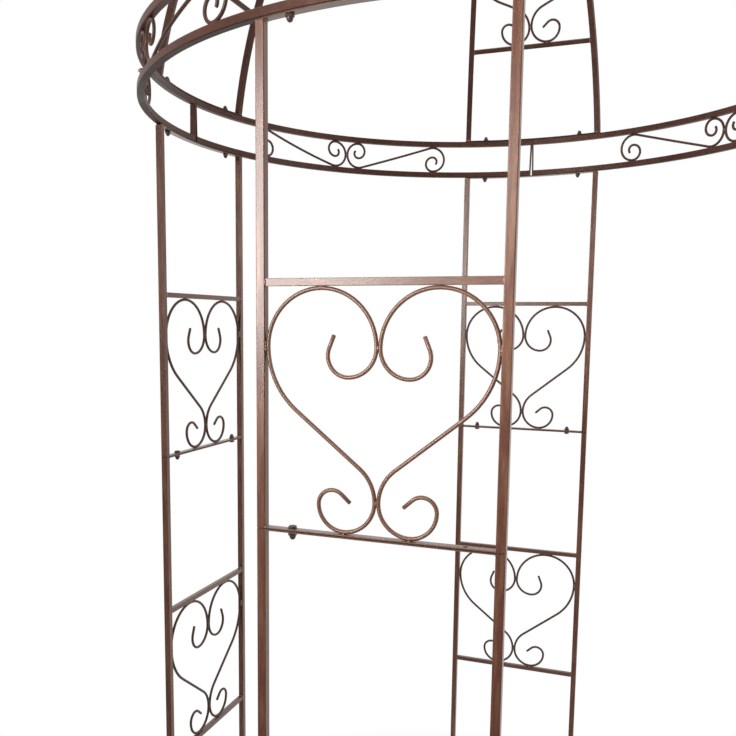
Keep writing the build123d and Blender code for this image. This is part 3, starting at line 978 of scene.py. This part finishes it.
postSeam = {"proud": 0.00015, "corner": 0.0015, "cornerSteps": 3, "nick": 0.0010, "overlap": 0.0003}


def squareRing(half, height):
    corner = postSeam["corner"]
    points = []
    for quarter in range(4):
        for step in range(postSeam["cornerSteps"] + 1):
            middle = outward(45 + 90 * quarter) * ((half - corner) * sqrt(2))
            turn = 90 * (quarter + step / postSeam["cornerSteps"])
            points.append(middle + outward(turn) * corner + up * height)
    return points


seamHalf = tube / 2 + postSeam["proud"]
seamEnd = strap + postSeam["overlap"]
nick = postSeam["nick"]
seamRings = [
    squareRing(seamHalf, -seamEnd), squareRing(seamHalf, -nick), squareRing(seamHalf - nick, 0),
    squareRing(seamHalf, nick), squareRing(seamHalf, seamEnd),
]
seamSpots = []
for turn in sideTurns.values():
    for hand in hands:
        seamSpots.append((spot(turn, panelReach, hand * halfSpacing, jointHeight), up))
seamValues = {"Turn Spread": 0.0, "Material": coats["postCoat"]}
postSeams = growPattern("post_seams", seamRings, seamSpots, seamValues)
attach(postSeams, "root")
print("post ends closed:", len(seamSpots))

# Floor, light and camera

studio = {
    "floorRadius": 9.0, "floorSides": 96, "floorTone": (0.90, 0.90, 0.90, 1), "floorRoughness": 0.85,
    "floorGleam": 0.1, "fadeNear": 0.60, "fadeFar": 1.05, "shadowShare": 0.45, "floorMirror": 0.8,
    "white": (1, 1, 1, 1), "roomTone": (0.92, 0.96, 1.0, 1), "roomStrength": 0.22, "roomMirror": 0.35,
}


def whiteRays(tree, depth, reach):  # seen straight on everywhere, in reflections behind the pavilion only
    path = addNode(tree, "ShaderNodeLightPath").outputs
    bounced = addMath(tree, "MAXIMUM", path["Is Glossy Ray"], path["Is Transmission Ray"])
    behind = addRange(tree, depth, -reach, reach, kind="SMOOTHSTEP")
    return addMath(tree, "MAXIMUM", path["Is Camera Ray"], addMath(tree, "MULTIPLY", bounced, behind))


def mixSurface(tree, share, plain, white, outputName):
    mixed = addNode(tree, "ShaderNodeMixShader", {0: share, 1: plain.outputs[0], 2: white.outputs[0]})
    tree.links.new(mixed.outputs[0], tree.nodes[outputName].inputs["Surface"])


def makeFloor():
    mesh = bpy.data.meshes.new("floor")
    work = bmesh.new()
    radius = studio["floorRadius"]
    bmesh.ops.create_circle(work, cap_ends=True, segments=studio["floorSides"], radius=radius)
    work.to_mesh(mesh)
    work.free()
    floor = bpy.data.objects.new("floor", mesh)
    scene.collection.objects.link(floor)
    material = bpy.data.materials.new("paleFloor")
    material.use_nodes = True
    tree = material.node_tree
    shader = tree.nodes["Principled BSDF"]
    shader.inputs["Base Color"].default_value = studio["floorTone"]
    shader.inputs["Roughness"].default_value = studio["floorRoughness"]
    shader.inputs["Specular IOR Level"].default_value = studio["floorGleam"]
    glow = addNode(tree, "ShaderNodeEmission", {"Color": studio["white"], "Strength": 1.0})
    place = objectPlace(tree)
    distance = addNode(tree, "ShaderNodeVectorMath", {0: place}, operation="LENGTH").outputs["Value"]
    glowShare = 1 - studio["shadowShare"]
    fade = addRange(tree, distance, studio["fadeNear"], studio["fadeFar"], glowShare, kind="SMOOTHSTEP")
    depth = addNode(tree, "ShaderNodeSeparateXYZ", {"Vector": place}).outputs["Y"]
    share = addMath(tree, "MULTIPLY", fade, whiteRays(tree, depth, studio["floorMirror"]))
    mixSurface(tree, share, shader, glow, "Material Output")
    mesh.materials.append(material)


def makeWorld():
    world = bpy.data.worlds.new("studio")
    world.use_nodes = True
    scene.world = world
    tree = world.node_tree
    room = tree.nodes["Background"]
    room.inputs["Color"].default_value = studio["roomTone"]
    room.inputs["Strength"].default_value = studio["roomStrength"]
    white = addNode(tree, "ShaderNodeBackground", {"Color": studio["white"], "Strength": 1.0})
    place = addNode(tree, "ShaderNodeTexCoord").outputs["Generated"]
    depth = addNode(tree, "ShaderNodeSeparateXYZ", {"Vector": place}).outputs["Y"]
    mixSurface(tree, whiteRays(tree, depth, studio["roomMirror"]), room, white, "World Output")


lamps = {  # place, aim, width, height, watts, spread in degrees
    "keyPanel": ((-1.36, -3.35, 1.98), (0.57, -0.6, 1.75), 1.20, 1.25, 17.9, 70),
    "postPanel": ((-0.26, -3.3, 2.16), (0.25, -0.72, 1.82), 0.40, 0.50, 0.34, 44),
    "topPanel": ((0.4, -0.6, 4.6), (0.0, 0.0, 1.4), 2.6, 2.6, 44.0, 180),
    "sidePanel": ((3.6, 0.6, 2.2), (0.0, 0.0, 1.5), 1.6, 2.2, 22.0, 180),
}
lampTone = (0.95, 0.97, 1.0)


def makeLamps():
    for name, (place, aim, width, height, watts, spread) in lamps.items():
        data = bpy.data.lights.new(name, "AREA")
        data.shape = "RECTANGLE"
        data.size = width
        data.size_y = height
        data.energy = watts
        data.spread = radians(spread)
        data.color = lampTone
        lamp = bpy.data.objects.new(name, data)
        lamp.location = place
        lamp.rotation_euler = (Vector(aim) - Vector(place)).to_track_quat("-Z", "Y").to_euler()
        lamp.visible_camera = False
        scene.collection.objects.link(lamp)


photoCamera = {  # pixels of the square photograph, metres and degrees, sensor in millimetres
    "frameSize": 736, "focal": 820.16, "centre": (347.62, 419.91), "place": (0.3890, -1.8831, 1.5047),
    "yaw": 20.550, "pitch": -6.845, "roll": 0.530, "sensor": 36.0, "clipStart": 0.05,
}


def makeCamera():
    settings = photoCamera
    yaw, pitch, roll = (radians(settings[label]) for label in ("yaw", "pitch", "roll"))
    forward = Vector((-sin(yaw) * cos(pitch), cos(yaw) * cos(pitch), sin(pitch)))
    right = Vector((cos(yaw), sin(yaw), 0))
    above = right.cross(forward)
    rolledRight = right * cos(roll) + above * sin(roll)
    rolledUp = above * cos(roll) - right * sin(roll)
    data = bpy.data.cameras.new("camera")
    size = settings["frameSize"]
    data.sensor_fit = "HORIZONTAL"
    data.sensor_width = settings["sensor"]
    data.lens = settings["focal"] / size * settings["sensor"]
    data.shift_x = 0.5 - settings["centre"][0] / size
    data.shift_y = settings["centre"][1] / size - 0.5
    data.clip_start = settings["clipStart"]
    camera = bpy.data.objects.new("camera", data)
    camera.matrix_world = axesMatrix(Vector(settings["place"]), rolledRight, rolledUp)
    scene.collection.objects.link(camera)
    scene.camera = camera


makeFloor()
makeWorld()
makeLamps()
makeCamera()
print("studio set")

bpy.context.view_layer.update()
